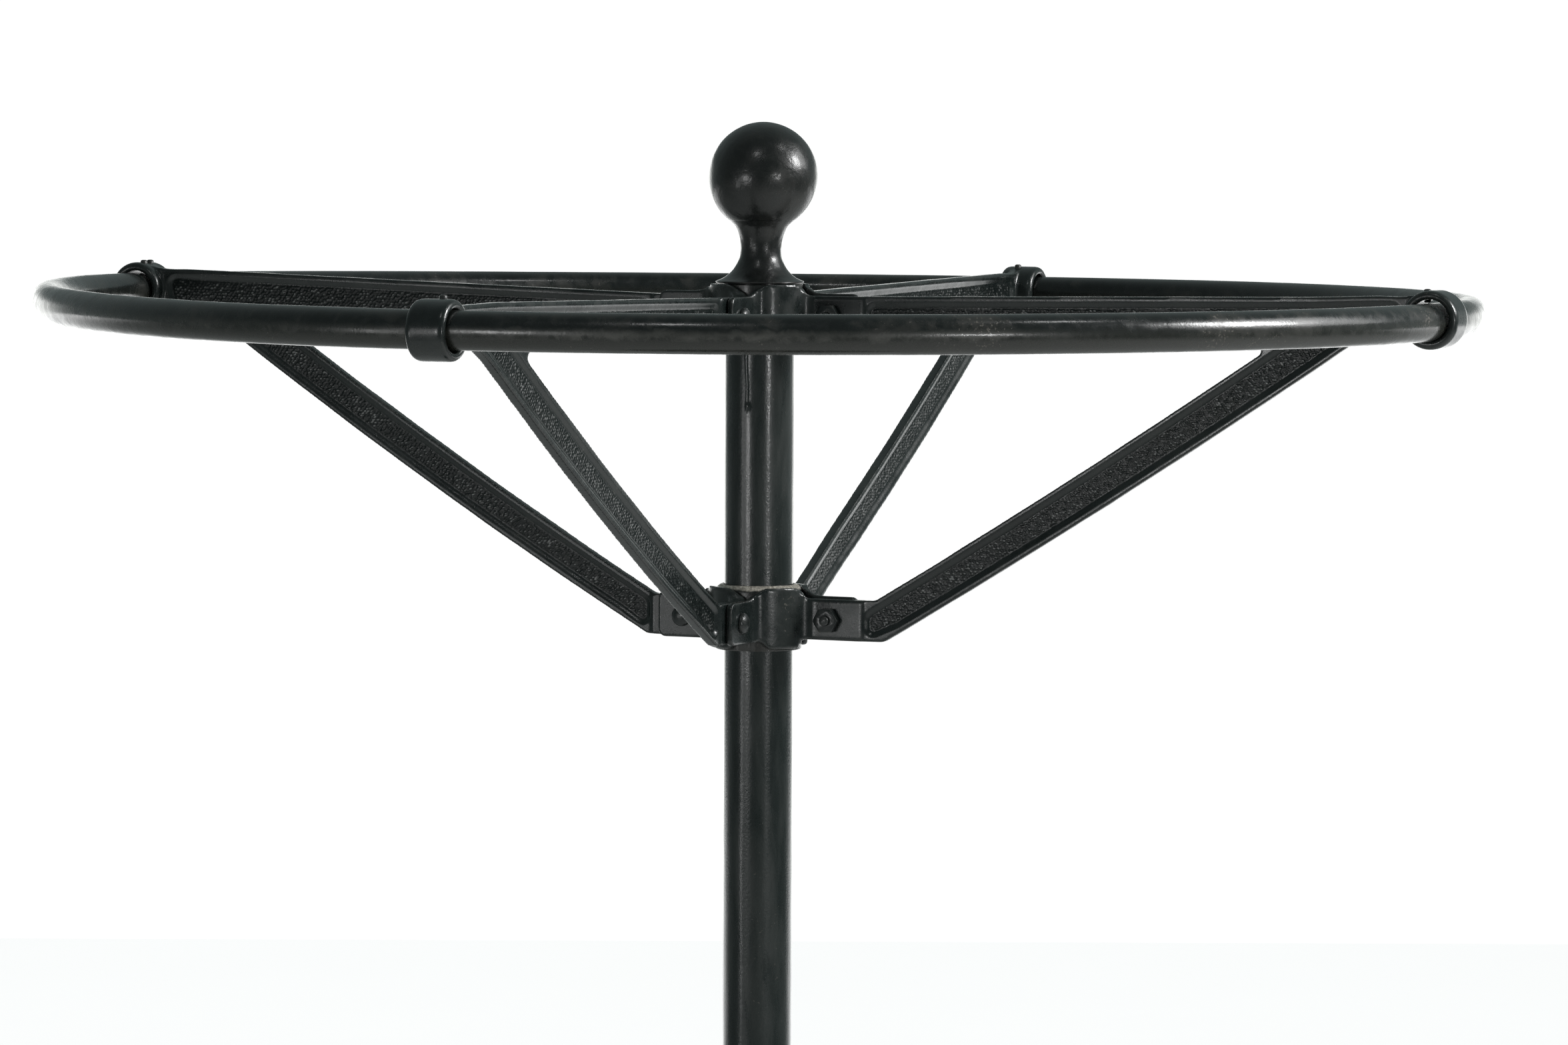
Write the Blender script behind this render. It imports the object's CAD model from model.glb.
"""Looks for the ring swift: a post on a domed foot, four fine cast brackets round
its head, a rolled ring rail through their eyes, a turned finial, worn dark
enamel, camera and studio.

The scene is in metres, +Z up, in the frame of the CAD; the script works in mm
and multiplies by MM. The post stands on the origin and the camera looks along
+Y, so -Y is the front and +X the right. Azimuths turn from -Y towards +X.
In a bracket's own frame x runs out along the arm, y across it, and z is
measured from the ring plane.
"""
import bpy
import bmesh
import numpy as np
from collections import namedtuple
from math import pi, sin, cos, radians, sqrt, atan2, hypot
from mathutils import Matrix, Vector


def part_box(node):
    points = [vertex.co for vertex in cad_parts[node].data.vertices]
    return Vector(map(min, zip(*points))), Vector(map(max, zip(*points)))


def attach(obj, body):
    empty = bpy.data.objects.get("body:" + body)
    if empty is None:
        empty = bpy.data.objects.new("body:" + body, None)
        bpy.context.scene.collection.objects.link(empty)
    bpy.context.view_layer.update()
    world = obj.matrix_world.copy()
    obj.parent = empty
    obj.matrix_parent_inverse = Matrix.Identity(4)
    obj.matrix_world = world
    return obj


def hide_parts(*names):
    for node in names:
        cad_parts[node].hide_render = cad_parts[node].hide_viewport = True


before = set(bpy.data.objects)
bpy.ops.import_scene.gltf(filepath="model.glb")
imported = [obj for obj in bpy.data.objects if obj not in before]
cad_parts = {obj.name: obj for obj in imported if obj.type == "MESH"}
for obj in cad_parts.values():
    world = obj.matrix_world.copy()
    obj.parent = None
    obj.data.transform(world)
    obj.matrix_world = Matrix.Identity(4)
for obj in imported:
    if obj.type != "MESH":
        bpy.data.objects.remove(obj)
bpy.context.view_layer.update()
MM = 0.001
scene = bpy.context.scene


# ---- places read from the CAD, mm --------------------------------------------
def cad_size(node):
    """Radius, bottom and top of a round CAD piece."""
    low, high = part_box(node)
    return 0.5 * (high.x - low.x) / MM, low.z / MM, high.z / MM


RAIL_TUBE_R = 12.7
rail_outer, rail_bottom, _ = cad_size("ring_rail")
RING_Z = rail_bottom + RAIL_TUBE_R               # ring plane above the floor
RING_R = rail_outer - RAIL_TUBE_R + 0.05
POST_R, POST_BOTTOM, POST_TOP = cad_size("post_tube")
FOOT_R, _, FOOT_TOP = cad_size("foot_casting")
BALL_R, _, finial_top = cad_size("finial_ball")
BALL_Z = finial_top - RING_Z - BALL_R            # above the ring plane

# ---- shared dimensions, mm ------------------------------------------------------
RAIL_SPRING, SPRING_AT = 7.0, 258.0              # how far the rail springs up, and its azimuth
HUB_DROP = -210.5                                # lower hub from the upper one
ARM_SIDE_LOW, ARM_SIDE_HIGH = -2.0, 7.0          # y of the thick root's faces
PLATE_LOW, PLATE_HIGH = -1.2, 6.0                # y of the slim plate's faces
PLATE_MID = 0.5 * (PLATE_LOW + PLATE_HIGH)
HUB_R_IN, EAR_THICK, EAR_GAP = 30.4, 4.5, 0.3
ROOT_TOP, ROOT_BOTTOM, ROOT_START = 10.5, -18.0, 32.0
HUMP_UP, HUMP_DOWN = 8.0, 6.0                    # the shell's swell above and below
BOLT_X, BOLT_Z = 53.5, -4.0
EYE_Z, EYE_R, EYE_BORE, EYE_WIDTH = 0.6, 19.7, 13.9, 27.5
PANEL_START = 84.0
BAR_START, BAR_SLOPE = 75.0, 0.0145
BRACE_START, BRACE_END = 108.0, 425.0
LOW_SLOPE, HIGH_SLOPE = 0.6053, 0.615
BUSH_R, BUSH_BORE = 30.0, 24.7

# How each casting has settled: its brace raised at the hub end and the eye end,
# bent by bow and widened either side; the arm set aside at x = 100 and x = 400;
# its ears and its eye raised.
Arm = namedtuple("Arm", "side azimuth hub_rise end_rise bow widen "
                        "aside_100 aside_400 ear_rise eye_rise")
FIRST_ARM = -24.03
ARMS = (Arm("front_left", FIRST_ARM, 0.0, -1.0, -5.6, 0.0, -0.6, -1.4, 2.8, -0.9),
        Arm("front_right", FIRST_ARM + 90.0, -6.0, 1.9, -3.6, 0.8, 0.3, -0.4, 0.2, 0.9),
        Arm("rear_right", FIRST_ARM + 180.0, 5.0, -1.8, -5.5, 0.4, 2.0, -1.4, 1.5, 0.0),
        Arm("rear_left", FIRST_ARM + 270.0, 0.0, 1.0, -5.6, 0.3, 0.0, -0.3, 1.5, 0.0))


# ---- noise -----------------------------------------------------------------------
def lattice(ix, iy, iz, seed):
    """Random value 0..1 for each lattice cell."""
    h = (ix.astype(np.int64) * 374761393 + iy.astype(np.int64) * 668265263
         + iz.astype(np.int64) * 2147483647 + seed * 1274126177) & 0xFFFFFFFF
    h = ((h ^ (h >> 13)) * 1274126177) & 0xFFFFFFFF
    h = ((h ^ (h >> 16)) * 2246822519) & 0xFFFFFFFF
    return ((h ^ (h >> 15)) & 0xFFFFFF) / float(0xFFFFFF)


def smooth_noise(points, size, seed):
    """Smooth lattice noise in -1..1 at points (n, 3), with cells of size."""
    scaled_points = points / size
    cell = np.floor(scaled_points).astype(np.int64)
    f = scaled_points - cell
    f = f * f * (3 - 2 * f)
    total = 0.0
    for dx in (0, 1):
        wx = f[:, 0] if dx else 1 - f[:, 0]
        for dy in (0, 1):
            wy = f[:, 1] if dy else 1 - f[:, 1]
            for dz in (0, 1):
                wz = f[:, 2] if dz else 1 - f[:, 2]
                total = total + wx * wy * wz * lattice(
                    cell[:, 0] + dx, cell[:, 1] + dy, cell[:, 2] + dz, seed)
    return 2 * total - 1


def unevenness(points, *layers):
    """Sum of noise layers, each (height, cell size, seed)."""
    return sum(height * smooth_noise(points, size, seed) for height, size, seed in layers)


# ---- curves ------------------------------------------------------------------------
def smoothstep(u):
    u = np.clip(u, 0.0, 1.0)
    return u * u * (3 - 2 * u)


def span(first, last, steps):
    return [first + (last - first) * k / steps for k in range(steps + 1)]


def spline(points, steps):
    """Catmull-Rom curve through (x, y) points."""
    curve = []
    ends = [points[0]] + list(points) + [points[-1]]
    for i in range(1, len(ends) - 2):
        for k in range(steps):
            u = k / steps
            point = []
            for axis in (0, 1):
                a, b, c, d = (ends[i + j][axis] for j in (-1, 0, 1, 2))
                point.append(0.5 * (2 * b + (c - a) * u + (2 * a - 5 * b + 4 * c - d) * u * u
                                    + (3 * b - a - 3 * c + d) * u ** 3))
            curve.append(tuple(point))
    curve.append(tuple(points[-1]))
    return curve


def rounded(corners, arc_steps=6):
    """Polygon of (x, y, radius) corners, with an arc at each one that has a radius."""
    points = []
    count = len(corners)
    for i, (x, y, radius) in enumerate(corners):
        if radius <= 0:
            points.append((x, y))
            continue
        corner = Vector((x, y))
        back = (Vector(corners[i - 1][:2]) - corner).normalized()
        ahead = (Vector(corners[(i + 1) % count][:2]) - corner).normalized()
        half = 0.5 * back.angle(ahead)
        reach = radius / (sin(half) / cos(half))
        centre = corner + (back + ahead).normalized() * (radius / sin(half))
        start, end = corner + back * reach, corner + ahead * reach
        first = atan2(start.y - centre.y, start.x - centre.x)
        last = atan2(end.y - centre.y, end.x - centre.x)
        sweep = (last - first + pi) % (2 * pi) - pi
        for k in range(arc_steps + 1):
            angle = first + sweep * k / arc_steps
            points.append((centre.x + radius * cos(angle), centre.y + radius * sin(angle)))
    return points


def hermite(start, start_slope, end, end_slope, count):
    """Points between start and end on the cubic with the given end slopes."""
    (x0, y0), (x1, y1) = start, end
    dx = x1 - x0
    points = []
    for k in range(1, count + 1):
        u = k / (count + 1)
        points.append((x0 + dx * u,
                       (2 * u**3 - 3 * u**2 + 1) * y0 + (u**3 - 2 * u**2 + u) * dx * start_slope
                       + (3 * u**2 - 2 * u**3) * y1 + (u**3 - u**2) * dx * end_slope))
    return points


def polygon_distance(px, py, polygon):
    """Signed distance to a polygon, positive inside."""
    nearest = np.full(px.shape, 1e9)
    inside = np.zeros(px.shape, bool)
    for i, (x1, y1) in enumerate(polygon):
        x0, y0 = polygon[i - 1]
        dx, dy = x1 - x0, y1 - y0
        square = dx * dx + dy * dy
        if square < 1e-12:
            continue
        u = np.clip(((px - x0) * dx + (py - y0) * dy) / square, 0, 1)
        nearest = np.minimum(nearest, (px - x0 - u * dx) ** 2 + (py - y0 - u * dy) ** 2)
        if dy != 0:
            inside ^= ((y0 > py) != (y1 > py)) & (px < (x1 - x0) * (py - y0) / dy + x0)
    distance = np.sqrt(nearest)
    return np.where(inside, distance, -distance)


def rail_rise(azimuth):
    """How far the rail has sprung up at an azimuth in radians."""
    return RAIL_SPRING * (0.5 + 0.5 * np.cos(azimuth - radians(SPRING_AT))) ** 5


# ---- meshes ------------------------------------------------------------------------
def new_mesh(name, verts, faces):
    me = bpy.data.meshes.new(name)
    me.from_pydata([tuple(v) for v in verts], [], [tuple(f) for f in faces])
    me.update()
    return me


def mesh_from(bm, name):
    me = bpy.data.meshes.new(name)
    bm.to_mesh(me)
    bm.free()
    return me


def link(name, me):
    ob = bpy.data.objects.new(name, me)
    scene.collection.objects.link(ob)
    return ob


def coords(me):
    """Vertex places in mm."""
    co = np.empty(len(me.vertices) * 3)
    me.vertices.foreach_get("co", co)
    return co.reshape(-1, 3) / MM


def set_coords(me, co):
    metres = np.ascontiguousarray(co * MM, dtype=np.float32)
    me.vertices.foreach_set("co", metres.ravel())
    me.update()


def normals(me):
    directions = np.empty(len(me.vertices) * 3)
    me.vertex_normals.foreach_get("vector", directions)
    return directions.reshape(-1, 3)


def pushed(me, co, amount):
    """Places moved by amount along the mesh's normals."""
    return co + normals(me) * amount[:, None]


def shade(me, angle=None):
    me.shade_smooth()
    if angle is not None:
        me.set_sharp_from_angle(angle=radians(angle))


def shift_up(me, height):
    me.transform(Matrix.Translation((0, 0, height * MM)))


def baked(ob, name):
    """Evaluated mesh of an object, which is removed."""
    bpy.context.view_layer.update()
    depsgraph = bpy.context.evaluated_depsgraph_get()
    me = bpy.data.meshes.new_from_object(ob.evaluated_get(depsgraph))
    bpy.data.objects.remove(ob, do_unlink=True)
    me.name = name
    return me


def lathe(name, profile, steps, closed=False):
    """Turned mesh from (radius, z), its outer side from top to bottom."""
    verts, faces, rings = [], [], []
    for radius, z in profile:
        if radius < 1e-6:
            rings.append([len(verts)] * steps)
            verts.append((0, 0, z * MM))
            continue
        rings.append(list(range(len(verts), len(verts) + steps)))
        for k in range(steps):
            a = 2 * pi * k / steps
            verts.append((radius * MM * cos(a), radius * MM * sin(a), z * MM))
    count = len(profile)
    for i in range(count if closed else count - 1):
        upper, lower = rings[i], rings[(i + 1) % count]
        for k in range(steps):
            m = (k + 1) % steps
            quad = [upper[k], lower[k], lower[m], upper[m]]
            face = [v for j, v in enumerate(quad) if v != quad[j - 1]]
            if len(face) > 2:
                faces.append(face)
    return new_mesh(name, verts, faces)


def prism(name, outline, low, high, axis="y"):
    """Closed prism along an axis. Outline is (x, z) for axis y, (x, y) for axis z."""
    bm = bmesh.new()
    across = axis == "y"
    verts = [bm.verts.new((u * MM, low * MM, v * MM) if across else (u * MM, v * MM, low * MM))
             for u, v in outline]
    face = bm.faces.new(verts)
    bm.normal_update()
    geometry = bmesh.ops.extrude_face_region(bm, geom=[face])["geom"]
    depth = (high - low) * MM
    bmesh.ops.translate(bm, verts=[g for g in geometry if isinstance(g, bmesh.types.BMVert)],
                        vec=Vector((0, depth, 0) if across else (0, 0, depth)))
    bmesh.ops.recalc_face_normals(bm, faces=bm.faces)
    bmesh.ops.triangulate(bm, faces=[f for f in bm.faces if len(f.verts) > 4])
    return mesh_from(bm, name)


def join_meshes(name, meshes):
    bm = bmesh.new()
    for me in meshes:
        bm.from_mesh(me)
    return mesh_from(bm, name)


def boolean_mesh(name, body, others, bevel_width, bevel_segments):
    """Body combined with each (mesh, operation), then bevelled at its edges."""
    ob = link("body", body)
    tools = []
    for me, operation in others:
        tools.append(link("tool", me))
        cut = ob.modifiers.new("cut", 'BOOLEAN')
        cut.operation, cut.solver, cut.object = operation, 'EXACT', tools[-1]
    bevel = ob.modifiers.new("edge", 'BEVEL')
    bevel.width, bevel.segments = bevel_width * MM, bevel_segments
    bevel.limit_method, bevel.angle_limit = 'ANGLE', radians(40)
    me = baked(ob, name)
    for tool in tools:
        bpy.data.objects.remove(tool, do_unlink=True)
    shade(me, 35)
    return me


# ---- bracket outline ------------------------------------------------------------------
def bar_top(x):
    return ROOT_TOP + BAR_SLOPE * (x - BAR_START)


def brace_edges(arm):
    """Lower and upper edge of the slanting brace, as z of x."""
    def edge(x_from, z_from, slope, widen):
        def height(x):
            w = (x - 91.0) / 349.0
            return (z_from + slope * (x - x_from) + arm.hub_rise * (1.0 - w) + arm.end_rise * w
                    + arm.bow * 4.0 * w * (1.0 - w) + widen)
        return height
    return (edge(91.0, -223.8, LOW_SLOPE, -arm.widen),
            edge(80.0, -199.9, HIGH_SLOPE, arm.widen))


def crossing(line, z, first=80.0, last=470.0):
    """The x where a rising line reaches z, by bisection."""
    for k in range(50):
        middle = 0.5 * (first + last)
        first, last = (middle, last) if line(middle) < z else (first, middle)
    return 0.5 * (first + last)


def along(line, first, last, steps):
    return [(x, line(x)) for x in span(first, last, steps)]


def bracket_outline(arm):
    """Outline of the plate, from the root along the top bar, round the eye,
    down the brace to the lower root, and back along the inside."""
    low_line, high_line = brace_edges(arm)
    top_join, low_join = radians(112.0), radians(235.0)

    def on_eye(angle, radius):
        return (RING_R + radius * cos(angle), EYE_Z + radius * sin(angle))

    def eye_slope(angle):
        return -cos(angle) / sin(angle)

    bar_end = 448.0
    low_root_top, low_root_bottom = ROOT_TOP + HUB_DROP, ROOT_BOTTOM + HUB_DROP
    points = [(ROOT_START, ROOT_TOP), (BAR_START, ROOT_TOP), (bar_end, bar_top(bar_end))]
    points += hermite(points[-1], BAR_SLOPE, on_eye(top_join, EYE_R), eye_slope(top_join), 10)
    # the plate ends inside the wall of the eye
    points += [on_eye(top_join, EYE_R - 0.3)]
    wall = 0.5 * (EYE_R + EYE_BORE)
    points += [on_eye(a, wall) for a in span(radians(100.0), radians(248.0), 24)]
    points += [on_eye(low_join, EYE_R - 0.3)]
    brace_end = (BRACE_END, low_line(BRACE_END))
    points += hermite(brace_end, LOW_SLOPE, on_eye(low_join, EYE_R), eye_slope(low_join), 10)[::-1]
    points += along(low_line, BRACE_END, BRACE_START, 24)
    knee = crossing(low_line, low_root_bottom, 60.0)
    points += rounded([points[-1] + (0,), (knee, low_root_bottom, 9.0),
                       (ROOT_START, low_root_bottom, 0)], 10)[1:]
    points += [(ROOT_START, low_root_top)]
    window = crossing(high_line, ROOT_BOTTOM)
    inner = along(high_line, BRACE_START, window - 15.0, 24)
    elbow = crossing(high_line, low_root_top, 60.0)
    points += rounded([(ROOT_START, low_root_top, 0), (elbow, low_root_top, 10.0),
                       inner[0] + (0,)], 10)[1:-1]
    points += inner
    points += rounded([inner[-1] + (0,), (window, ROOT_BOTTOM, 3.5),
                       (ROOT_START, ROOT_BOTTOM, 0)])[1:]
    return points


def panel_outline(arm):
    """Outline of the recessed panel, inside the rims of bar and brace."""
    bar_rim, brace_rim = 7.6, 7.3
    bar_low = -6.5
    low_line, high_line = brace_edges(arm)

    def low(x):
        return low_line(x) + brace_rim * hypot(1.0, LOW_SLOPE)

    def high(x):
        return high_line(x) - brace_rim * hypot(1.0, HIGH_SLOPE)

    crotch_z = ROOT_BOTTOM + bar_rim
    crotch = crossing(high, crotch_z)
    toe = crossing(low, bar_low)
    brace_foot = max(low(PANEL_START) - 1.6, ROOT_BOTTOM + HUB_DROP + 5.5)
    corners = [(PANEL_START, bar_top(PANEL_START) - bar_rim, 4.0),
               (465.0, bar_top(465.0) - bar_rim, 4.0),
               (463.0, bar_low, 4.0), (toe, bar_low, 6.0)]
    corners += [p + (0,) for p in along(low, toe - 14.0, 104.0, 16)]
    corners += [(PANEL_START, brace_foot, 3.0), (PANEL_START, high(PANEL_START), 5.0)]
    corners += [p + (0,) for p in along(high, 98.0, crotch - 18.0, 16)]
    corners += [(crotch, crotch_z, 4.0), (PANEL_START, crotch_z, 4.0)]
    return rounded(corners)


# ---- bracket pieces ---------------------------------------------------------------------
def clamp_path(bend=12.0, reach=72.0, corner=5.5):
    """Stations (x, y, swell up, swell down) of the clamp sheet's middle, and the
    index where the shell ends. The ear lies along the arm a quarter turn away."""
    mid = HUB_R_IN + EAR_THICK / 2
    ear_x = ARM_SIDE_HIGH + EAR_GAP + EAR_THICK / 2
    bend_out, bend_x = sqrt((mid + bend) ** 2 - (ear_x + bend) ** 2), ear_x + bend
    meet = atan2(bend_x, bend_out)
    first, last, shell_steps, bend_steps = radians(6.0), -pi / 2 + meet, 44, 14

    def over(degrees):
        return float(smoothstep((degrees + 20.0) / 42.0) * smoothstep((80.0 - degrees) / 24.0))

    def under(degrees):
        return float(smoothstep((degrees - 2.0) / 12.0) * smoothstep((66.0 - degrees) / 16.0))

    path = []
    for a in span(first, last, shell_steps):
        degrees = -a * 180 / pi
        tuck = 0.5 * (1.0 - float(smoothstep(degrees / 8.0)))
        path.append((mid * cos(a), mid * sin(a),
                     over(degrees) * HUMP_UP - tuck, under(degrees) * HUMP_DOWN - tuck))
    for k in range(1, bend_steps + 1):
        a = meet + pi + (1.5 * pi - meet - pi) * k / bend_steps
        degrees = 15.0 * k / bend_steps - last * 180 / pi
        path.append((bend_x + bend * sin(a), -(bend_out + bend * cos(a)),
                     over(degrees) * HUMP_UP, under(degrees) * HUMP_DOWN))
    for k in range(1, 5):
        path.append((ear_x, -(bend_out + (reach - corner - bend_out) * k / 4), 0.0, 0.0))
    for a in span(0.0, 0.5 * pi, 8)[1:]:
        cut = corner * (1 - cos(a))
        path.append((ear_x, -(reach - corner + corner * sin(a)), -cut, -cut))
    return path, shell_steps


def clamp_sheet(drop, ear_rise):
    """Quarter shell and ear as one thickened sheet."""
    path, shell_end = clamp_path()
    verts, faces = [], []
    for i, (x, y, up, down) in enumerate(path):
        ear = float(smoothstep((i - shell_end) / 10.0))
        bottom = ROOT_BOTTOM - 0.8 * ear + drop - down
        top = ROOT_TOP + ear_rise * ear + drop + up
        verts += [(x * MM, y * MM, z * MM) for z in span(bottom, top, 4)]
        if i:
            for k in range(4):
                here, before = 5 * i + k, 5 * (i - 1) + k
                faces.append((before, here, here + 1, before + 1))
    ob = link("sheet", new_mesh("sheet", verts, faces))
    thickness = ob.modifiers.new("thickness", 'SOLIDIFY')
    thickness.thickness, thickness.offset = EAR_THICK * MM, 0.0
    thickness.use_even_offset = True
    return baked(ob, "clamp_sheet")


def root_fillet(drop):
    """Soft fillet between the shell and the -y face of the root."""
    outer = HUB_R_IN + EAR_THICK
    radius = 11.0
    y = ARM_SIDE_LOW - radius
    x = sqrt((outer + radius) ** 2 - y ** 2)
    towards_axis = atan2(-y, -x)
    points = [(x + radius * cos(a), y + radius * sin(a)) for a in span(towards_axis, pi / 2, 8)]
    points += [(x, ARM_SIDE_LOW + 2.0), (ROOT_START, ARM_SIDE_LOW + 2.0), (30.9, -9.0)]
    me = prism("root_fillet", points, ROOT_BOTTOM + drop + 0.3, ROOT_TOP + drop - 0.3, "z")
    # the shell's raised top runs out along the fillet
    co = coords(me)
    top = co[:, 2] > 0.5 * (ROOT_TOP + ROOT_BOTTOM) + drop
    near = (co[:, 1] < ARM_SIDE_LOW + 1.0) & top
    run_out = HUMP_UP * 0.66 * smoothstep((x + 1.0 - co[:, 0]) / (x - 29.0))
    co[:, 2] += np.where(near, run_out, 0.0)
    set_coords(me, co)
    return me


def root_pad(drop):
    """Thick flat end of the arm that the bolt goes through."""
    low, high = ROOT_BOTTOM + drop, ROOT_TOP + drop
    end = 79.0
    outline = rounded([(ROOT_START, low, 0), (end, low, 1.5),
                       (end, high, 1.5), (ROOT_START, high, 0)])
    return prism("root_pad", outline, ARM_SIDE_LOW, ARM_SIDE_HIGH)


def eye_ring():
    half, edge = EYE_WIDTH / 2, 4.5
    crown = [(EYE_BORE, half - 1.0), (EYE_BORE + 0.7, half - 0.2), (EYE_BORE + 1.6, half)]
    crown += [(EYE_R - edge * 0.62 + edge * 0.62 * sin(a), half - edge + edge * cos(a))
              for a in span(0.0, 0.5 * pi, 6)]
    crown += [(radius, -z) for radius, z in reversed(crown)]
    me = lathe("eye", crown, 96, closed=True)
    me.transform(Matrix.Translation((RING_R * MM, 0, EYE_Z * MM))
                 @ Matrix.Rotation(-pi / 2, 4, 'X'))
    return me


def stipple(x, z, seed):
    """Hammered cast texture: staggered, jittered low domes, height 0..1."""
    pitch_x, pitch_z = 2.9, 2.0
    half_x, half_z, slant = 1.55, 1.08, 0.45
    base_row = np.floor(z / pitch_z).astype(np.int64)
    height = np.zeros(x.shape)
    for row_step in (-1, 0, 1):
        row = base_row + row_step
        stagger = np.where(row % 2 == 0, 0.0, 0.5) * pitch_x
        base_column = np.floor((x - stagger) / pitch_x).astype(np.int64)
        for column_step in (-1, 0, 1):
            column = base_column + column_step
            jitter_x = (lattice(column, row, column * 0, seed) - 0.5) * 1.3
            jitter_z = (lattice(column, row, column * 0 + 1, seed) - 0.5) * 0.9
            size = 0.5 + 0.5 * lattice(column, row, column * 0 + 2, seed)
            dx = x - (column + 0.5) * pitch_x - stagger - jitter_x
            dz = z - (row + 0.5) * pitch_z - jitter_z
            dx = dx + slant * dz
            dome = 1.0 - ((dx / half_x) ** 2 + (dz / half_z) ** 2)
            height = np.maximum(height, size * np.sqrt(np.clip(dome, 0, 1)))
    return height


# ---- the whole bracket ---------------------------------------------------------------------
def raw_bracket(arm):
    """All pieces of a bracket melted into one skin."""
    pieces = [prism("plate", bracket_outline(arm), PLATE_LOW, PLATE_HIGH), eye_ring()]
    pieces += [root_pad(drop) for drop in (0.0, HUB_DROP)]
    for drop in (0.0, HUB_DROP):
        pieces += [clamp_sheet(drop, arm.ear_rise), root_fillet(drop)]
    ob = link("bracket_raw", join_meshes("bracket_raw", pieces))
    skin = ob.modifiers.new("cast", 'REMESH')
    skin.mode, skin.voxel_size, skin.use_smooth_shade = 'VOXEL', 1.15 * MM, True
    soften = ob.modifiers.new("soften", 'SMOOTH')
    soften.factor, soften.iterations = 0.5, 3
    return baked(ob, "cast_bracket_" + arm.side)


def panel_distance(co, zone, panel):
    """Distance inside the panel for the points in zone, far outside for the rest."""
    distance = np.full(len(co), -99.0)
    distance[zone] = polygon_distance(co[zone, 0], co[zone, 2], panel)
    return distance


def recess_panels(me, panel):
    """Sinks the panel on both faces and splits the faces inside it."""
    co = coords(me)
    x, y = co[:, 0], co[:, 1]
    zone = ((x > 79.5) & (x < 475) & (np.abs(y - PLATE_MID) > 2.4)
            & (np.abs(normals(me)[:, 1]) > 0.35))
    distance = panel_distance(co, zone, panel)
    depth = 2.15 * smoothstep((distance + 4.2) / 4.2)
    co[:, 1] = y - np.sign(y - PLATE_MID) * depth
    set_coords(me, co)

    bm = bmesh.new()
    bm.from_mesh(me)
    inside = distance > 0.3
    edges = set()
    for face in bm.faces:
        if all(inside[v.index] for v in face.verts):
            edges.update(face.edges)
    bmesh.ops.subdivide_edges(bm, edges=list(edges), cuts=1, use_grid_fill=True)
    bmesh.ops.recalc_face_normals(bm, faces=bm.faces)
    bm.to_mesh(me)
    bm.free()


def hammer_panels(me, panel, seed):
    """Raises the hammered grain in the panels and makes the whole casting uneven."""
    co = coords(me)
    x, y, z = co[:, 0], co[:, 1], co[:, 2]
    zone = (x > 80) & (x < 470) & (np.abs(y - PLATE_MID) < 2.6)
    distance = panel_distance(co, zone, panel)
    side = np.sign(y - PLATE_MID)
    grain = np.where(side > 0, stipple(x, z, 11 + seed), stipple(x, z, 29 + seed))
    inner = smoothstep((distance - 0.2) / 1.2)
    co[:, 1] = y + side * (0.34 * grain * inner)
    # slow unevenness of a sand casting
    wobble = unevenness(co, (0.16, 26.0, 3 + seed), (0.035, 8.0, 5 + seed), (0.008, 2.6, 7))
    set_coords(me, pushed(me, co, wobble))
    # how high each point stands in the panels, and where they are, for the paint
    for name, values in (("grain", grain * inner), ("panel", smoothstep((distance + 1.0) / 2.0))):
        me.attributes.new(name, 'FLOAT', 'POINT').data.foreach_set(
            "value", np.ascontiguousarray(values, dtype=np.float32))


def settle(me, arm):
    """Lets the arm follow the rail up and stand a little aside."""
    co = coords(me)
    x = co[:, 0]
    lift = rail_rise(radians(arm.azimuth)) * np.clip((x - BAR_START) / 390.0, 0.0, 1.0)
    co[:, 2] += lift + arm.eye_rise * smoothstep((x - 400.0) / 60.0)
    aside = arm.aside_100 + (arm.aside_400 - arm.aside_100) * (x - 100.0) / 300.0
    co[:, 1] += aside * smoothstep((x - 76.0) / 80.0)
    set_coords(me, co)


def cast_bracket(arm, seed):
    me = raw_bracket(arm)
    panel = panel_outline(arm)
    recess_panels(me, panel)
    hammer_panels(me, panel, seed)
    shade(me)
    settle(me, arm)
    return me


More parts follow.
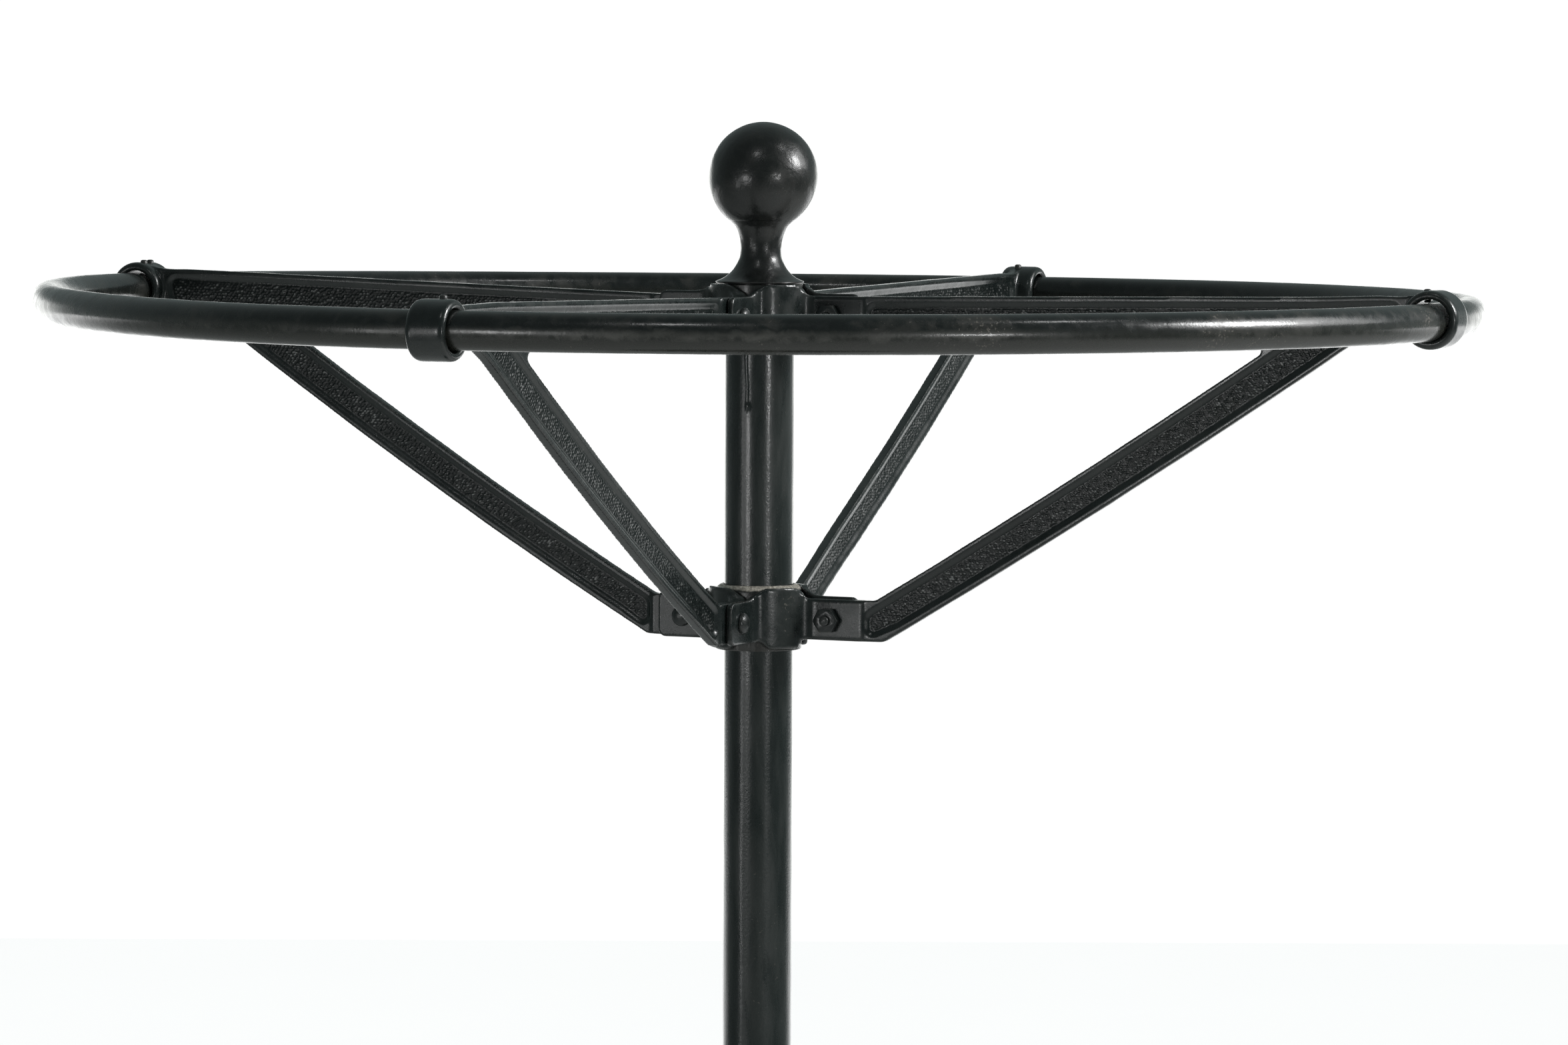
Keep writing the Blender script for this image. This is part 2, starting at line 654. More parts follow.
# ---- node helper ------------------------------------------------------------------------------
class Nodes:
    """Short ways to add and link the nodes of a material or world."""

    def __init__(self, owner):
        owner.use_nodes = True
        self.owner, self.tree = owner, owner.node_tree

    def add(self, kind, **settings):
        node = self.tree.nodes.new("ShaderNode" + kind)
        for key, value in settings.items():
            setattr(node, key, value)
        return node

    def feed(self, node, values):
        """Links or sets each named or numbered input."""
        for key, value in values.items():
            socket = node.inputs[key]
            if isinstance(value, bpy.types.NodeSocket):
                self.tree.links.new(value, socket)
            elif socket.type == 'RGBA':
                socket.default_value = (*value, 1)
            else:
                socket.default_value = value

    def surface(self, values):
        self.feed(self.tree.nodes["Principled BSDF"], values)

    def ramp(self, value, first, last, at_first=0.0, at_last=1.0):
        node = self.add("ValToRGB")
        stops = node.color_ramp.elements
        stops[0].position, stops[0].color = first, (at_first, at_first, at_first, 1)
        stops[1].position, stops[1].color = last, (at_last, at_last, at_last, 1)
        self.feed(node, {"Fac": value})
        return node.outputs["Color"]

    def noise(self, vector, scale, detail, rough, distortion=0.0):
        node = self.add("TexNoise")
        self.feed(node, {"Scale": scale, "Detail": detail, "Roughness": rough,
                         "Distortion": distortion, "Vector": vector})
        return node.outputs["Fac"]

    def math(self, operation, *values):
        node = self.add("Math", operation=operation)
        self.feed(node, dict(enumerate(values)))
        return node.outputs[0]

    def plus(self, a, b):
        return self.math('ADD', a, b)

    def times(self, a, b):
        return self.math('MULTIPLY', a, b)

    def sway(self, noise, amount):
        """Noise centred on zero and scaled."""
        return self.times(self.math('SUBTRACT', noise, 0.5), amount)

    def mix(self, factor, a, b):
        node = self.add("Mix", data_type='RGBA')
        self.feed(node, {0: factor, 6: a, 7: b})
        return node.outputs[2]

    def remap(self, value, from_low, from_high, to_low, to_high, kind='LINEAR'):
        node = self.add("MapRange", interpolation_type=kind)
        self.feed(node, dict(enumerate((value, from_low, from_high, to_low, to_high))))
        return node.outputs[0]

    def axes(self, vector):
        node = self.add("SeparateXYZ")
        self.feed(node, {0: vector})
        return tuple(node.outputs)

    def combined(self, values):
        node = self.add("CombineXYZ")
        self.feed(node, dict(enumerate(values)))
        return node.outputs[0]

    def vector(self, operation, values, output=0):
        node = self.add("VectorMath", operation=operation)
        self.feed(node, values)
        return node.outputs[output]

    def bump(self, height, strength, distance, normal=None):
        node = self.add("Bump")
        self.feed(node, {"Strength": strength, "Distance": distance, "Height": height})
        if normal is not None:
            self.feed(node, {"Normal": normal})
        return node.outputs[0]

    def attribute(self, name):
        return self.add("Attribute", attribute_name=name).outputs["Fac"]


def new_material(name):
    return Nodes(bpy.data.materials.new(name))


def scaled(colour, factor):
    return tuple(c * factor for c in colour)


# ---- enamel ------------------------------------------------------------------------------------
BARE_EDGE, CHIP = (0.105, 0.098, 0.088), (0.17, 0.155, 0.135)
RUBBED_BAND, RUBBED_GRAIN = (0.195, 0.190, 0.174), (0.185, 0.190, 0.186)
COAT = 0.35


def shifted_place(m, place):
    """Object place moved by the object's random number, so that no two match."""
    random = m.add("ObjectInfo").outputs["Random"]
    shift = m.vector('SCALE', {0: m.combined([random] * 3), "Scale": 3.7})
    return m.vector('ADD', {0: place, 1: shift})


def rubbed_underside(m, base, under, geometry, place, broad, middle):
    """Browner where the surface looks down, and rubbed through in a ragged
    band along its outer side."""
    normal = geometry.outputs["Normal"]
    facing_up = m.axes(normal)[2]
    low = m.remap(m.plus(facing_up, m.sway(broad, 0.5)), 0.30, -0.45, 0.0, 0.85)
    base = m.mix(low, base, under)
    flat = m.vector('MULTIPLY', {0: place, 1: (1.0, 1.0, 0.0)})
    outward = m.vector('DOT_PRODUCT', {0: flat, 1: normal}, "Value")
    outer = m.remap(outward, 0.0, 0.2, 0.0, 1.0)
    height = m.math('ABSOLUTE', m.plus(m.plus(facing_up, m.sway(middle, 0.9)), 0.04))
    band = m.remap(height, 0.04, 0.30, 0.50, 0.0)
    # strongest close to x = -0.05 m
    aside = m.math('ABSOLUTE', m.plus(m.axes(place)[0], 0.05))
    band = m.times(band, m.remap(aside, 0.06, 0.26, 1.0, 0.22))
    band = m.times(band, m.remap(broad, 0.38, 0.58, 0.45, 1.0))
    return m.mix(m.times(band, outer), base, RUBBED_BAND)


def hammered_paint(m, base, dark, panel, middle):
    """Dark ground in the panels, paint rubbed off the tops of the grains."""
    ground = m.mix(m.times(panel, 0.75), base, scaled(dark, 0.55))
    tips = m.ramp(m.plus(m.attribute("grain"), m.sway(middle, 0.9)), 0.66, 0.92)
    return m.mix(m.times(tips, 0.8), ground, RUBBED_GRAIN), tips


def enamel_relief(m, place, lumps, peel, panel, middle, fine, micro):
    """Lumps, orange peel, cells in the panels, and a micro grain under the coat."""
    bump = m.bump(middle, strength=lumps, distance=0.0016)
    bump = m.bump(fine, strength=peel, distance=0.0004, normal=bump)
    if panel is not None:
        cells = m.add("TexVoronoi")
        m.feed(cells, {"Scale": 480.0, "Vector": place})
        bump = m.bump(m.math('SUBTRACT', 1.0, cells.outputs["Distance"]),
                      strength=m.times(panel, 0.22), distance=0.0005, normal=bump)
    grained = m.bump(micro, strength=peel * 0.6, distance=0.00012, normal=bump)
    m.surface({"Normal": grained, "Coat Normal": bump})


def bare_rim(m, base, bare_above, place, middle, fine):
    """Bare metal above a height in the object's frame, metres."""
    height = m.plus(m.axes(place)[2], m.sway(middle, 0.004))
    bare = m.remap(height, bare_above - 0.0008, bare_above + 0.0006, 0.0, 1.0)
    metal = m.mix(m.ramp(fine, 0.35, 0.65), (0.30, 0.27, 0.23), (0.84, 0.78, 0.68))
    m.surface({"Metallic": m.times(bare, 0.40),
               "Coat Weight": m.times(m.math('SUBTRACT', 1.0, bare), COAT)})
    return m.mix(bare, base, metal)


def enamel(name, dark, brown, *, rough, wear, brown_amount, lumps, peel,
           chip=(0.645, 0.665), streak=None, bare_above=None, hammered=False, under=None):
    """Worn dark enamel over iron: mottled gloss, brown rubbing, bare edges,
    small chips, orange peel. Rough is the roughness range, chip the noise range
    where chips begin, streak a stretch of the mottling."""
    m = new_material(name)
    place = m.add("TexCoord").outputs["Object"]
    own_place = shifted_place(m, place)
    mottle_place = own_place
    if streak is not None:
        mapping = m.add("Mapping")
        m.feed(mapping, {"Scale": streak, "Vector": own_place})
        mottle_place = mapping.outputs[0]
    broad = m.noise(mottle_place, scale=22.0, detail=5.0, rough=0.6)
    middle = m.noise(mottle_place, scale=95.0, detail=5.0, rough=0.62, distortion=0.4)
    fine = m.noise(own_place, scale=520.0, detail=3.0, rough=0.6)
    micro = m.noise(own_place, scale=1700.0, detail=2.0, rough=0.5)
    geometry = m.add("NewGeometry")
    point = geometry.outputs["Pointiness"]

    # mottled enamel with brown patches
    tone = m.remap(broad, 0.35, 0.68, 0.72, 1.35)
    value = m.add("HueSaturation")
    m.feed(value, {"Color": m.mix(m.ramp(middle, 0.30, 0.72), scaled(dark, 0.75),
                                  scaled(dark, 1.3)),
                   "Value": tone})
    patches = m.ramp(m.plus(m.times(broad, 0.6), m.times(middle, 0.4)), 0.48, 0.60)
    browned = m.times(patches, brown_amount)
    base = m.mix(browned, value.outputs["Color"], brown)
    if under is not None:
        base = rubbed_underside(m, base, under, geometry, place, broad, middle)
    # bare edges, then dust and grease in the hollows, then chips
    edges = m.times(m.ramp(m.plus(point, m.sway(middle, 0.10)), 0.53, 0.60), wear)
    base = m.mix(edges, base, BARE_EDGE)
    hollows = m.ramp(point, 0.40, 0.47, at_first=1.0, at_last=0.0)
    base = m.mix(m.times(hollows, 0.6), base, scaled(dark, 0.35))
    chips = m.ramp(m.plus(m.times(fine, 0.55), m.times(broad, 0.45)), *chip)
    chips = m.times(chips, 1.1 * wear)
    base = m.mix(chips, base, CHIP)

    roughness = m.remap(middle, 0.3, 0.7, *rough)
    for mask, amount in ((browned, 0.14), (chips, 0.25), (edges, 0.04), (hollows, 0.25)):
        roughness = m.plus(roughness, m.times(mask, amount))
    m.surface({"Metallic": 0.0, "IOR": 1.55, "Coat Weight": COAT, "Coat Roughness": 0.10})
    panel = None
    if hammered:
        panel = m.attribute("panel")
        base, tips = hammered_paint(m, base, dark, panel, middle)
        roughness = m.math('SUBTRACT', roughness, m.times(tips, 0.05))
        # the hammered ground is duller than the rims, its tips are not
        dull = m.times(panel, m.math('SUBTRACT', 1.0, tips))
        m.surface({"Coat Weight": m.remap(panel, 0.0, 1.0, COAT, 0.06),
                   "Specular IOR Level": m.remap(dull, 0.0, 1.0, 0.5, 0.22)})
    enamel_relief(m, own_place, lumps, peel, panel, middle, fine, micro)
    if bare_above is not None:
        base = bare_rim(m, base, bare_above, place, middle, fine)
    m.surface({"Base Color": base, "Roughness": roughness})
    return m.owner


def bearing_steel():
    """Bright steel with a trace of rust."""
    m = new_material("bearing_steel")
    steel, rust = (0.52, 0.52, 0.51), (0.2, 0.15, 0.1)
    place = m.add("TexCoord").outputs["Object"]
    patches = m.noise(place, scale=120.0, detail=6.0, rough=0.65)
    fine = m.noise(place, scale=720.0, detail=3.0, rough=0.6)
    rusted = m.times(m.ramp(patches, 0.45, 0.62), 0.1)
    colour = m.mix(m.ramp(fine, 0.3, 0.7), scaled(steel, 0.7), scaled(steel, 1.3))
    m.surface({"Base Color": m.mix(rusted, colour, rust),
               "Metallic": m.math('SUBTRACT', 1.0, m.times(rusted, 0.9)),
               "Roughness": m.plus(m.remap(fine, 0.3, 0.7, 0.14, 0.34), m.times(rusted, 0.3)),
               "Normal": m.bump(fine, strength=0.3, distance=0.0004)})
    return m.owner


CAST = enamel("cast_enamel", dark=(0.0125, 0.0178, 0.0172), brown=(0.032, 0.033, 0.030),
              rough=(0.21, 0.33), wear=0.42, brown_amount=0.35, lumps=0.05, peel=0.14,
              hammered=True)
TUBE = enamel("tube_enamel", dark=(0.0120, 0.0155, 0.0150), brown=(0.052, 0.047, 0.040),
              rough=(0.18, 0.34), wear=0.6, brown_amount=0.40, lumps=0.06, peel=0.16,
              chip=(0.625, 0.650), under=(0.026, 0.027, 0.022))
POST = enamel("post_enamel", dark=(0.0165, 0.0225, 0.0215), brown=(0.036, 0.036, 0.033),
              rough=(0.20, 0.34), wear=0.4, brown_amount=0.35, lumps=0.10, peel=0.22,
              streak=(1.0, 1.0, 0.18))
BALL = enamel("ball_enamel", dark=(0.0110, 0.0128, 0.0120), brown=(0.022, 0.020, 0.017),
              rough=(0.27, 0.36), wear=0.25, brown_amount=0.4, lumps=0.22, peel=0.22)
BUSH = enamel("worn_bush", dark=(0.0125, 0.0150, 0.0145), brown=(0.034, 0.031, 0.027),
              rough=(0.24, 0.42), wear=0.5, brown_amount=0.5, lumps=0.3, peel=0.4,
              bare_above=(RING_Z - 193.6) * MM)
HARD = enamel("dark_hardware", dark=(0.0150, 0.0195, 0.0190), brown=(0.038, 0.036, 0.032),
              rough=(0.26, 0.40), wear=0.45, brown_amount=0.35, lumps=0.10, peel=0.3)
STEEL = bearing_steel()


# ---- placing pieces -------------------------------------------------------------------------------
def paint(ob, material):
    ob.data.materials.clear()
    ob.data.materials.append(material)


def place_piece(name, me, material, body, node, matrix=None):
    """Adds a finished piece that rides on a body and replaces a CAD node."""
    ob = link(name, me)
    if matrix is not None:
        ob.matrix_world = matrix
    paint(ob, material)
    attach(ob, body)
    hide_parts(node)


def at_bracket(arm):
    return (Matrix.Translation((0, 0, RING_Z * MM))
            @ Matrix.Rotation(radians(arm.azimuth - 90.0), 4, 'Z'))


def shifted(x, y, z):
    return Matrix.Translation((x * MM, y * MM, z * MM))


# ---- brackets ---------------------------------------------------------------------------------------
for i, arm in enumerate(ARMS):
    place_piece("cast_bracket_" + arm.side, cast_bracket(arm, 100 * i), CAST,
                "head", "bracket_" + arm.side, at_bracket(arm))


# ---- ring rail --------------------------------------------------------------------------------------
def rail_points(azimuth, around, tube_r, centre_z):
    reach = RING_R + tube_r * np.cos(around)
    return np.stack([reach * np.sin(azimuth), -reach * np.cos(azimuth),
                     centre_z + tube_r * np.sin(around)], -1).reshape(-1, 3)


def rail_mesh(steps=900, tube_steps=40):
    azimuth, around = np.meshgrid(np.arange(steps) * 2 * pi / steps,
                                  np.arange(tube_steps) * 2 * pi / tube_steps, indexing="ij")
    true_r = np.full(azimuth.shape, RAIL_TUBE_R)
    wobble = unevenness(rail_points(azimuth, around, true_r, 0.0),
                        (0.10, 34.0, 21), (0.018, 9.0, 22), (0.003, 3.0, 23))
    tube_r = true_r + wobble.reshape(azimuth.shape) - 0.04
    points = rail_points(azimuth, around, tube_r, RING_Z + rail_rise(azimuth))
    here = np.arange(steps * tube_steps).reshape(steps, tube_steps)
    ahead = np.roll(here, -1, 0)
    quads = np.stack([here, ahead, np.roll(ahead, -1, 1), np.roll(here, -1, 1)], -1)
    me = new_mesh("rail", points * MM, quads.reshape(-1, 4).tolist())
    shade(me)
    return me


place_piece("rail_tube", rail_mesh(), TUBE, "head", "ring_rail")

# ---- finial -------------------------------------------------------------------------------------------
# radius, height above the ring plane: from under the ball down to the flange
NECK = [(22.5, 62.5), (20.4, 60.6), (18.6, 58.8), (17.3, 56.8), (16.4, 54.6), (15.4, 51.6),
        (14.75, 48.3), (14.35, 45.0), (14.2, 41.5), (14.8, 36.5), (16.4, 32.5),
        (19.2, 28.0), (23.2, 24.0), (27.2, 21.6), (30.2, 20.4)]
# flange edge, underside and the hollow inside
FLANGE = [(30.7, 20.1), (30.8, 19.7), (30.7, 19.2), (30.2, 18.95), (24.2, 18.9),
          (24.2, 12.5), (12.0, 12.5), (12.0, 30.0), (0.0, 30.0)]
FLANGE_FOOT = 19.0


def finial_mesh():
    neck_r, neck_z = NECK[0]
    ball_end = pi - atan2(neck_r, BALL_Z - neck_z)
    profile = [(BALL_R * sin(a), BALL_Z + BALL_R * cos(a)) for a in span(0.0, ball_end, 60)]
    profile += spline(NECK, 5)[1:] + FLANGE
    me = lathe("finial", profile, 160)
    co = coords(me)
    wobble = unevenness(co, (0.09, 12.0, 31), (0.035, 3.6, 32), (0.012, 1.7, 33))
    co = pushed(me, co, np.where(co[:, 2] > FLANGE_FOOT, wobble - 0.05, 0))
    # leans a little towards +X
    co[:, 0] += 2.3 * np.clip((co[:, 2] - FLANGE_FOOT) / 80.0, 0.0, 1.0)
    co[:, 2] += RING_Z
    set_coords(me, co)
    shade(me, 50)
    return me


place_piece("finial", finial_mesh(), BALL, "head", "finial_ball")


# ---- bushes ---------------------------------------------------------------------------------------------
def upper_bush_mesh(top=18.5, bottom=-24.0, chamfer=0.6):
    me = lathe("bush_up", [(BUSH_R - chamfer, top), (BUSH_R, top - chamfer),
                           (BUSH_R, bottom + chamfer), (BUSH_R - chamfer, bottom),
                           (BUSH_BORE, bottom), (BUSH_BORE, top)], 96, closed=True)
    shade(me, 40)
    shift_up(me, RING_Z)
    return me


# radius, height from the ring plane: worn lip from the bore outwards
LIP = [(24.8, -191.3), (25.3, -190.85), (26.2, -190.8), (27.4, -191.4), (28.8, -192.6),
       (29.7, -194.0), (BUSH_R, -195.6)]


def lower_bush_mesh(bottom=-236.0, chamfer=0.6):
    profile = [(BUSH_BORE, -192.0)] + spline(LIP, 5)
    profile += [(BUSH_R, bottom + chamfer), (BUSH_R - chamfer, bottom), (BUSH_BORE, bottom)]
    me = lathe("bush_low", profile, 128, closed=True)
    co = coords(me)
    wobble = unevenness(co, (0.10, 3.0, 41), (0.06, 1.3, 42)) - 0.05
    co = pushed(me, co, np.where(co[:, 2] > -197, wobble, 0))
    co[:, 2] += RING_Z
    set_coords(me, co)
    shade(me, 45)
    return me


place_piece("bush_upper", upper_bush_mesh(), CAST, "head", "upper_bush")
place_piece("bush_lower", lower_bush_mesh(), BUSH, "head", "lower_bush")

# ---- clamp bolts and nuts -----------------------------------------------------------------------------------
EAR_FACE = ARM_SIDE_HIGH + EAR_GAP + EAR_THICK + 0.15
NUT_FACE = ARM_SIDE_LOW - 0.1
NUT_FLATS, NUT_HEIGHT = 16.0, 6.0


def bolt_mesh(head_r=7.2, crown=3.7, shank_r=3.4):
    """Round-headed bolt, its head on the ear and its end past the nut."""
    head = [(head_r * sin(a), EAR_FACE + 0.7 + crown * cos(a)) for a in span(0.0, 0.5 * pi, 10)]
    me = lathe("bolt", head + [
        (head_r, EAR_FACE + 0.2), (head_r - 0.2, EAR_FACE), (shank_r, EAR_FACE),
        (shank_r, NUT_FACE - 7.6), (3.1, NUT_FACE - 8.1), (2.6, NUT_FACE - 8.4),
        (0.0, NUT_FACE - 8.4)], 40)
    shade(me, 40)
    return me


def nut_mesh():
    """Hexagonal nut with turned-off corners and a plain hole."""
    bm = bmesh.new()
    corner_r = NUT_FLATS / sqrt(3) * MM
    bmesh.ops.create_cone(bm, cap_ends=True, segments=6, radius1=corner_r, radius2=corner_r,
                          depth=NUT_HEIGHT * MM)
    lens = lathe("lens", [(0, 3.05), (7.2, 3.05), (9.3, 2.1),
                          (9.3, -2.1), (7.2, -3.05), (0, -3.05)], 48)
    hole = lathe("hole", [(0, 5.0), (3.55, 5.0), (3.55, -5.0), (0, -5.0)], 32)
    return boolean_mesh("nut", mesh_from(bm, "blank"),
                        [(lens, 'INTERSECT'), (hole, 'DIFFERENCE')],
                        bevel_width=0.25, bevel_segments=2)


bolt, nut = bolt_mesh(), nut_mesh()
across_arm = Matrix.Rotation(-pi / 2, 4, 'X')
for level, drop in (("upper", 0.0), ("lower", HUB_DROP)):
    for i, arm in enumerate(ARMS):
        seat = at_bracket(arm) @ shifted(BOLT_X, 0, BOLT_Z + drop)
        place_piece(f"clamp_bolt_{level}_{arm.side}", bolt, HARD, "head",
                    f"{level}_bolt_{arm.side}", seat @ across_arm)
        turn = Matrix.Rotation(radians(11.0 + 17.0 * i), 4, 'Z')
        place_piece(f"clamp_nut_{level}_{arm.side}", nut, HARD, "head",
                    f"{level}_nut_{arm.side}",
                    seat @ shifted(0, NUT_FACE - NUT_HEIGHT / 2, 0) @ across_arm @ turn)

# ---- screws on the eyes ---------------------------------------------------------------------------------
# radius, height above the eye's axis
EYE_SCREW = [(0.0, 22.0), (1.2, 21.95), (2.0, 21.7), (2.5, 21.1), (2.55, 19.0), (2.5, 13.5),
             (1.9, 12.95), (0.0, 12.95)]
# name ending, x and y in the bracket's frame
ONE_SCREW = (("", 485.5, 0.0),)
TWO_SCREWS = (("_a", 487.5, -4.5), ("_b", 487.5, 4.5))
eye_screw = lathe("grub", EYE_SCREW, 28)
shade(eye_screw, 50)
for arm in ARMS:
    for ending, x, y in (TWO_SCREWS if arm.side == "rear_left" else ONE_SCREW):
        rise = rail_rise(radians(arm.azimuth))
        place_piece("eye_screw_" + arm.side + ending, eye_screw, HARD, "head",
                    "ring_screw_" + arm.side + ending,
                    at_bracket(arm) @ shifted(x, y, rise))


# ---- post -------------------------------------------------------------------------------------------------
def paint_run(azimuth, z):
    """A run of paint at the front, left of centre under the ring, and its drop.
    Azimuth in degrees, z from the ring plane."""
    run = (np.exp(-((azimuth + 21.5 + 1.0 * np.sin(z / 7.0)) / 1.5) ** 2)
           * smoothstep((z + 72) / 5.0) * smoothstep((-20 - z) / 5))
    drop = np.exp(-((azimuth + 18.5) / 2.8) ** 2 - ((z + 66.0) / 2.0) ** 2)
    return run, drop


def post_mesh(wall=3.2):
    # rings lie closest where the paint has run
    heights = np.concatenate([np.linspace(POST_TOP, RING_Z - 16, 40),
                              np.linspace(RING_Z - 17, RING_Z - 82, 66),
                              np.linspace(RING_Z - 86, POST_BOTTOM, 190)])
    profile = [(POST_R, float(z)) for z in heights]
    profile += [(POST_R - wall, POST_BOTTOM), (POST_R - wall, POST_TOP)]
    me = lathe("post", profile, 224, closed=True)
    co = coords(me)
    outside = np.hypot(co[:, 0], co[:, 1]) > POST_R - 1
    wobble = unevenness(co * np.array([1, 1, 0.25]), (0.05, 8.0, 51), (0.02, 3.0, 52))
    azimuth = np.degrees(np.arctan2(co[:, 0], -co[:, 1]))
    run, drop = paint_run(azimuth, co[:, 2] - RING_Z)
    wobble = wobble + 0.42 * run + 0.8 * drop
    set_coords(me, pushed(me, co, np.where(outside, wobble - 0.03, 0)))
    shade(me, 50)
    return me


place_piece("post", post_mesh(), POST, "stand", "post_tube")


# ---- foot -------------------------------------------------------------------------------------------------
def foot_mesh(socket_r=42.0, hollow_r=18.0):
    """Socket, dome and rim, then the underside back up to the bore."""
    bore = POST_R + 0.4
    dome = [(socket_r + (FOOT_R - 8.0 - socket_r) * w, 18.0 + 44.0 * (1 - w) ** 2.2)
            for w in span(0.02, 1.0, 30)]
    profile = rounded([(bore, FOOT_TOP, 0), (socket_r - 0.3, FOOT_TOP, 5.0),
                       (socket_r, 64.0, 0)], 8)[:-1]
    profile += [(socket_r, 72.0), (socket_r + 0.6, 66.0), (socket_r + 2.5, 62.5)] + dome[1:]
    profile += spline([dome[-1], (FOOT_R - 3.5, 16.0), (FOOT_R - 0.8, 12.0),
                       (FOOT_R, 8.0), (FOOT_R, 2.0)], 5)[1:]
    profile += [(FOOT_R - 1.5, 0.0), (FOOT_R - 30.0, 0.0), (FOOT_R - 34.0, 8.0)]
    profile += [(radius, z - 10.0) for radius, z in reversed(dome[6:-3])]
    profile += [(hollow_r, 36.0), (hollow_r, 45.6), (bore, 45.6)]
    me = lathe("foot", profile, 200, closed=True)
    co = coords(me)
    wobble = unevenness(co, (0.25, 40.0, 61), (0.08, 9.0, 62)) - 0.1
    uneven = (co[:, 2] > 12) & (np.hypot(co[:, 0], co[:, 1]) > 30)
    set_coords(me, pushed(me, co, np.where(uneven, wobble, 0)))
    shade(me, 45)
    return me


def socket_screw_mesh(azimuth, height=98.0, head=9.0, head_depth=6.5):
    """Square-headed screw pointing at the post; azimuth in degrees from +X."""
    tip = POST_R + 0.45
    shank = lathe("shank", [(0, 46.0), (3.9, 46.0), (3.9, 26.0), (3.4, tip), (0, tip)], 28)
    bm = bmesh.new()
    size = Matrix.Diagonal((head * MM, head * MM, head_depth * MM, 1))
    bmesh.ops.create_cube(bm, size=1.0, matrix=shifted(0, 0, 47.2) @ size)
    me = boolean_mesh("socket_screw", shank, [(mesh_from(bm, "head"), 'UNION')],
                      bevel_width=0.6, bevel_segments=3)
    me.transform(shifted(0, 0, height) @ Matrix.Rotation(radians(azimuth), 4, 'Z')
                 @ Matrix.Rotation(pi / 2, 4, 'Y'))
    return me


place_piece("foot", foot_mesh(), CAST, "stand", "foot_casting")
for i in range(3):
    place_piece(f"socket_screw_{i + 1}", socket_screw_mesh(30.0 + 120.0 * i), HARD,
                "stand", f"foot_screw_{i + 1}")

# ---- works that keep their CAD shape --------------------------------------------------------------------
for node, material in (("pivot_plug", STEEL), ("thrust_ball", STEEL), ("bearing_cup", STEEL),
                       ("ring_joint_plug", HARD)):
    paint(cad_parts[node], material)


# ---- floor --------------------------------------------------------------------------------------------------
def pale_floor():
    """Pale lit sweep: nearly white to the camera, glowing far behind the stand."""
    m = new_material("floor_pale")
    patches = m.noise(m.add("TexCoord").outputs["Object"], scale=3.0, detail=3.0, rough=0.55)
    y = m.axes(m.add("NewGeometry").outputs["Position"])[1]
    far_glow = m.remap(y, 2.0, 5.5, 0.0, 1.9)
    to_camera = m.add("LightPath").outputs["Is Camera Ray"]
    m.surface({"Base Color": (0.82, 0.82, 0.81),
               "Roughness": m.remap(patches, 0.3, 0.7, 0.7, 0.8),
               "Emission Color": (1.0, 1.0, 1.0),
               "Emission Strength": m.remap(to_camera, 0.0, 1.0, far_glow, 0.84)})
    return m.owner


FLOOR_HALF, FLOOR_Z = 8, -0.0005                 # metres
floor = link("floor", new_mesh(
    "floor", [(x * FLOOR_HALF, y * FLOOR_HALF, FLOOR_Z)
              for x, y in ((-1, -1), (1, -1), (1, 1), (-1, 1))], [(0, 1, 2, 3)]))
paint(floor, pale_floor())


# ---- world --------------------------------------------------------------------------------------------------
def studio_world():
    """White to the camera; to the rest a dark room with a low lit backdrop
    behind and a little light from below."""
    world = bpy.data.worlds.new("studio")
    scene.world = world
    m = Nodes(world)
    m.tree.nodes.clear()
    output, choice = m.add("OutputWorld"), m.add("MixShader")
    white, room = m.add("Background"), m.add("Background")
    m.feed(white, {"Color": (1, 1, 1), "Strength": 1.05})
    x, y, z = m.axes(m.add("TexCoord").outputs["Generated"])

    def fade(value, *ranges):
        return m.remap(value, *ranges, kind='SMOOTHSTEP')

    backdrop = m.times(fade(y, 0.74, 0.94, 0.0, 1.0), fade(z, 0.03, 0.15, 1.0, 0.0))
    dim = m.plus(fade(z, -0.9, -0.1, 0.26, 0.10), fade(y, -0.2, 0.75, 0.0, 0.10))
    # red, green and blue: share of the dim room, strength of the backdrop
    tints = ((0.84, 2.2), (1.0, 2.2), (0.99, 2.15))
    m.feed(room, {"Color": m.combined([m.plus(m.times(dim, room_share),
                                              m.times(backdrop, strength))
                                       for room_share, strength in tints])})
    m.feed(choice, {0: m.add("LightPath").outputs["Is Camera Ray"],
                    1: room.outputs[0], 2: white.outputs[0]})
    m.feed(output, {"Surface": choice.outputs[0]})


studio_world()

# ---- lights, metres -----------------------------------------------------------------------------------------
LIGHT_TARGET = Vector((0, 0, 1.56))
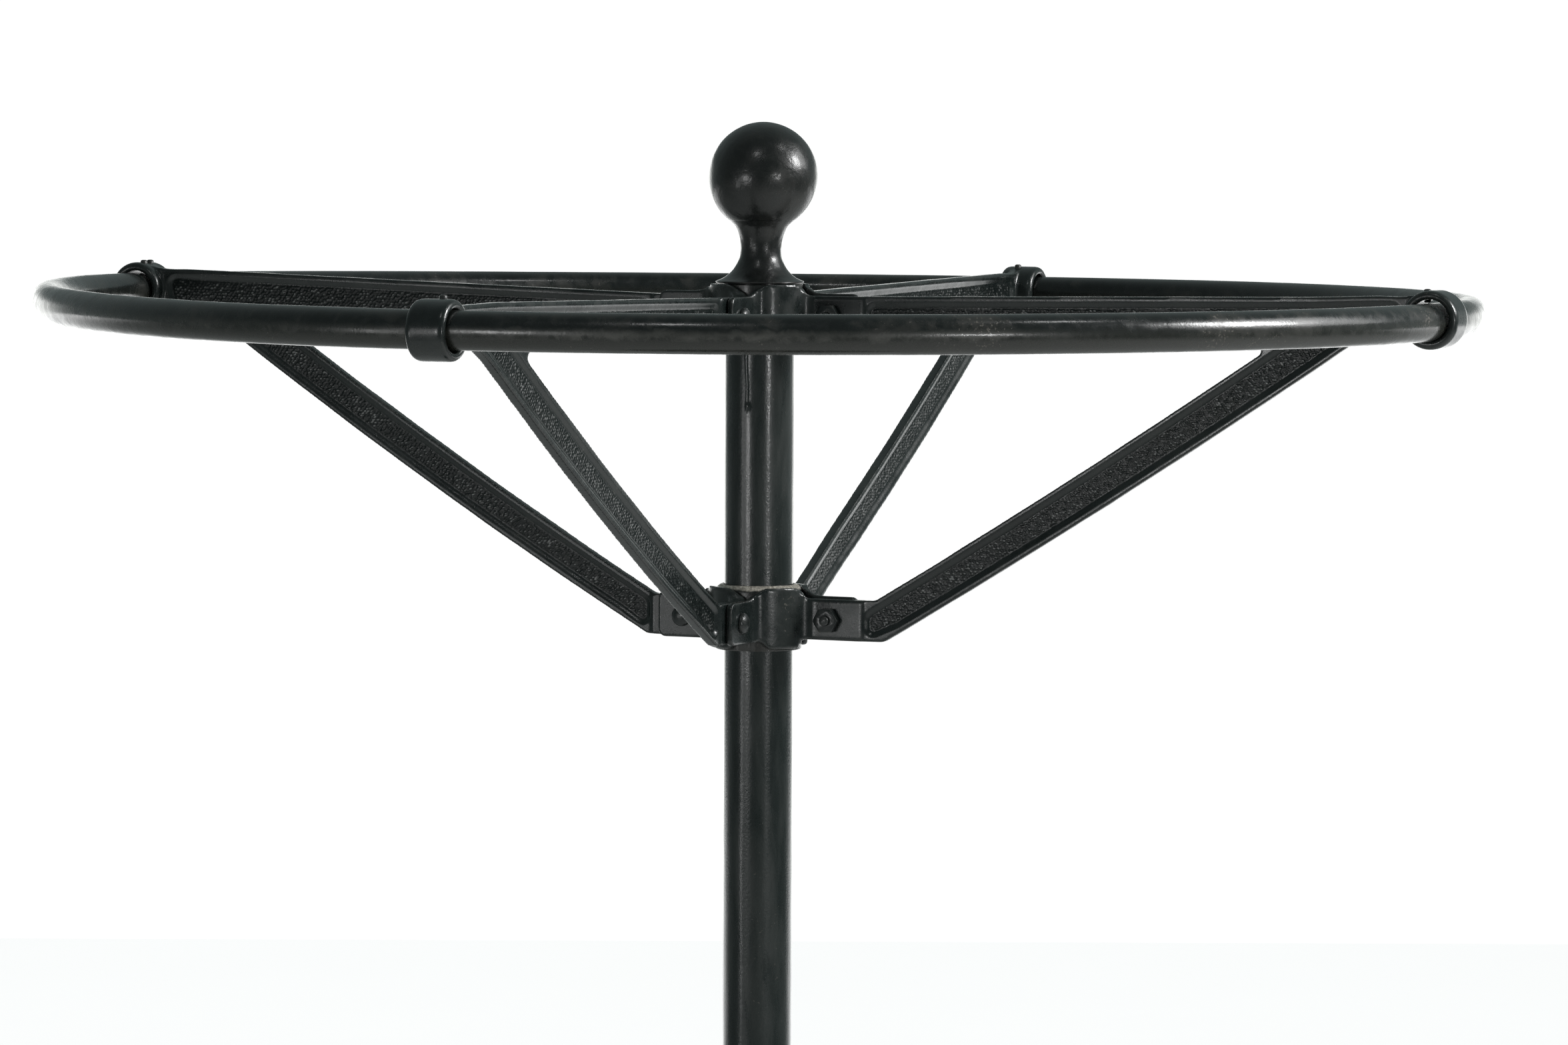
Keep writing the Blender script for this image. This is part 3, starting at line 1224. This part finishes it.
# name, direction from the target, distance, width, height, radiance
SOFTBOXES = (
    ("key_right", (0.886, -0.151, 0.44), 3.2, 0.80, 0.95, 26.0),
    ("key_wide", (0.90, 0.05, 0.42), 3.6, 1.9, 1.9, 2.2),
    ("left_front", (-0.606, -0.794, -0.065), 3.2, 0.36, 0.46, 8.5),
    ("left_wide", (-0.640, -0.766, -0.060), 3.4, 1.50, 0.90, 1.0),
    ("left_low", (-0.815, -0.545, -0.20), 3.2, 0.22, 0.80, 4.0),
    ("right_front", (0.513, -0.861, -0.032), 3.4, 0.28, 0.28, 36.0),
    ("top_front", (-0.18, -0.644, 0.743), 3.0, 0.26, 0.26, 12.0),
    ("top_right", (0.515, -0.22, 0.828), 3.0, 0.26, 0.26, 14.0))
for name, direction, distance, width, height, radiance in SOFTBOXES:
    towards = Vector(direction).normalized()
    light = bpy.data.lights.new(name, 'AREA')
    light.shape, light.size, light.size_y = 'RECTANGLE', width, height
    light.energy = radiance * width * height * pi
    box = link(name, light)
    box.location = LIGHT_TARGET + towards * distance
    box.rotation_euler = (-towards).to_track_quat('-Z', 'Y').to_euler()
    box.visible_camera = False


# ---- camera ---------------------------------------------------------------------------------------------------
def camera_matrix(location, pitch, yaw, roll):
    """Looks along +Y, pitched down, yawed towards +X and rolled, in radians."""
    forward = Vector((sin(yaw) * cos(pitch), cos(yaw) * cos(pitch), -sin(pitch)))
    level = Vector((cos(yaw), -sin(yaw), 0))
    upright = level.cross(forward)
    right = cos(roll) * level + sin(roll) * upright
    up = -sin(roll) * level + cos(roll) * upright
    matrix = Matrix((right, up, -forward)).transposed().to_4x4()
    matrix.translation = location
    return matrix


lens = bpy.data.cameras.new("camera")
lens.lens, lens.sensor_width, lens.sensor_fit = 143.77, 36.0, 'HORIZONTAL'
lens.clip_start, lens.clip_end = 0.1, 60.0
camera = link("camera", lens)
camera.matrix_world = camera_matrix(location=Vector((0, -4.3556, RING_Z * MM + 0.1348)),
                                    pitch=radians(3.7157), yaw=radians(0.2302),
                                    roll=radians(0.2444))
scene.camera = camera
scene.view_settings.view_transform = 'Standard'
scene.view_settings.look = 'None'
